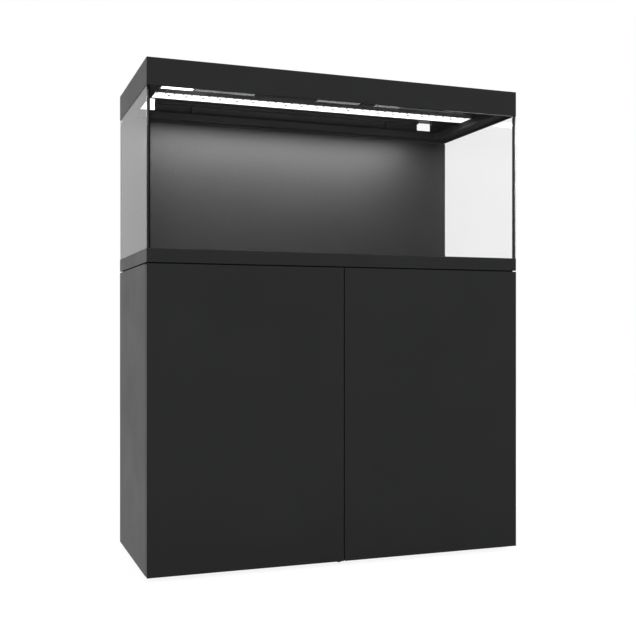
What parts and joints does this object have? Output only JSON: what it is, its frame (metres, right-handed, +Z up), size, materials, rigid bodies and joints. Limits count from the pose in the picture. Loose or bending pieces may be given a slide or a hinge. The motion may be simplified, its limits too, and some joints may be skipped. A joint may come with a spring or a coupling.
{
  "type": "aquarium on stand",
  "caption": "Black one-metre aquarium with lift-off hood and light bar on a push-to-open two-door cabinet.",
  "frame": {"origin": "on the floor under the middle of the object", "axes": "+X to the right seen from the front, +Y to the back, +Z up; the doors and front pane face -Y"},
  "size_m": [1, 0.42, 1.239],
  "materials": {
    "board_black": "satin black coated board",
    "frame_black": "satin black moulded plastic",
    "glass_clear": "clear polished float glass",
    "glass_smoked": "smoked clear plastic",
    "silicone_black": "cured black silicone",
    "background_black": "matt black with a fine grain",
    "foam_black": "closed-cell foam",
    "glide_black": "moulded plastic",
    "hinge_steel": "black oxide steel",
    "screw_steel": "zinc plated steel",
    "block_plastic": "moulded plastic",
    "bush_nylon": "natural nylon",
    "latch_grey": "grey moulded plastic",
    "bumper_clear": "soft clear rubber",
    "light_aluminium": "black anodised extrusion",
    "light_plastic": "moulded plastic",
    "light_white": "lit white diffuser",
    "led_yellow": "phosphor coated chip",
    "board_white": "white solder-mask board"
  },
  "bodies": {
    "stand": {"side_panel_left": "board_black", "side_panel_right": "board_black", "floor_panel": "board_black", "top_panel": "board_black", "back_panel": "board_black", "centre_divider": "board_black", "shelf": "board_black", "shelf_pins": "screw_steel", "glides": "glide_black", "corner_blocks": "block_plastic", "hinge_leaves": "hinge_steel", "hinge_pins": "screw_steel", "push_latches": "latch_grey", "door_bumpers": "bumper_clear", "support_mat": "foam_black", "base_frame": "frame_black", "bottom_pane": "glass_clear", "front_pane": "glass_clear", "back_pane": "glass_clear", "left_pane": "glass_clear", "right_pane": "glass_clear", "silicone_seams": "silicone_black", "background_panel": "background_black", "top_frame": "frame_black", "light_housing": "light_aluminium", "led_board": "board_white", "light_cover": "light_white", "leds": "led_yellow", "light_end_caps": "light_plastic", "cable_gland": "light_plastic"},
    "left_door": {"door_left": "board_black", "hinge_bushes_left": "bush_nylon", "strike_left": "screw_steel"},
    "right_door": {"door_right": "board_black", "hinge_bushes_right": "bush_nylon", "strike_right": "screw_steel"},
    "left_plunger": {"plunger_left": "latch_grey"},
    "right_plunger": {"plunger_right": "latch_grey"},
    "hood": {"hood_frame": "frame_black", "hood_deck": "frame_black", "flap_rods": "screw_steel"},
    "feed_cover": {"feed_cover": "glass_smoked"},
    "middle_flap": {"middle_flap": "glass_smoked"},
    "right_flap": {"right_flap": "glass_smoked"}
  },
  "joints": [
    {"name": "left_door_hinge", "type": "hinge", "parent": "stand", "child": "left_door", "pos_m": [-0.494, -0.204, 0.382], "axis": [0, 0, -1], "range_deg": [0, 95]},
    {"name": "right_door_hinge", "type": "hinge", "parent": "stand", "child": "right_door", "pos_m": [0.494, -0.204, 0.382], "axis": [0, 0, 1], "range_deg": [0, 95]},
    {"name": "left_latch_plunger", "type": "slide", "parent": "stand", "child": "left_plunger", "axis": [0, -1, 0], "range_m": [0, 0.02]},
    {"name": "right_latch_plunger", "type": "slide", "parent": "stand", "child": "right_plunger", "axis": [0, -1, 0], "range_m": [0, 0.02]},
    {"name": "hood_lift", "type": "slide", "parent": "stand", "child": "hood", "axis": [0, 0, 1], "range_m": [0, 0.3]},
    {"name": "feed_cover_slide", "type": "slide", "parent": "hood", "child": "feed_cover", "axis": [1, 0, 0], "range_m": [-0.095, 0.06]},
    {"name": "middle_flap_hinge", "type": "hinge", "parent": "hood", "child": "middle_flap", "pos_m": [0.0835, 0.0758, 1.236], "axis": [-1, 0, 0], "range_deg": [0, 95]},
    {"name": "right_flap_hinge", "type": "hinge", "parent": "hood", "child": "right_flap", "pos_m": [0.337, 0.0758, 1.236], "axis": [-1, 0, 0], "range_deg": [0, 95]}
  ],
  "couplings": [
    {"joint": "left_latch_plunger", "follows": "left_door_hinge", "m_per_rad": 0.012},
    {"joint": "right_latch_plunger", "follows": "right_door_hinge", "m_per_rad": 0.012}
  ]
}
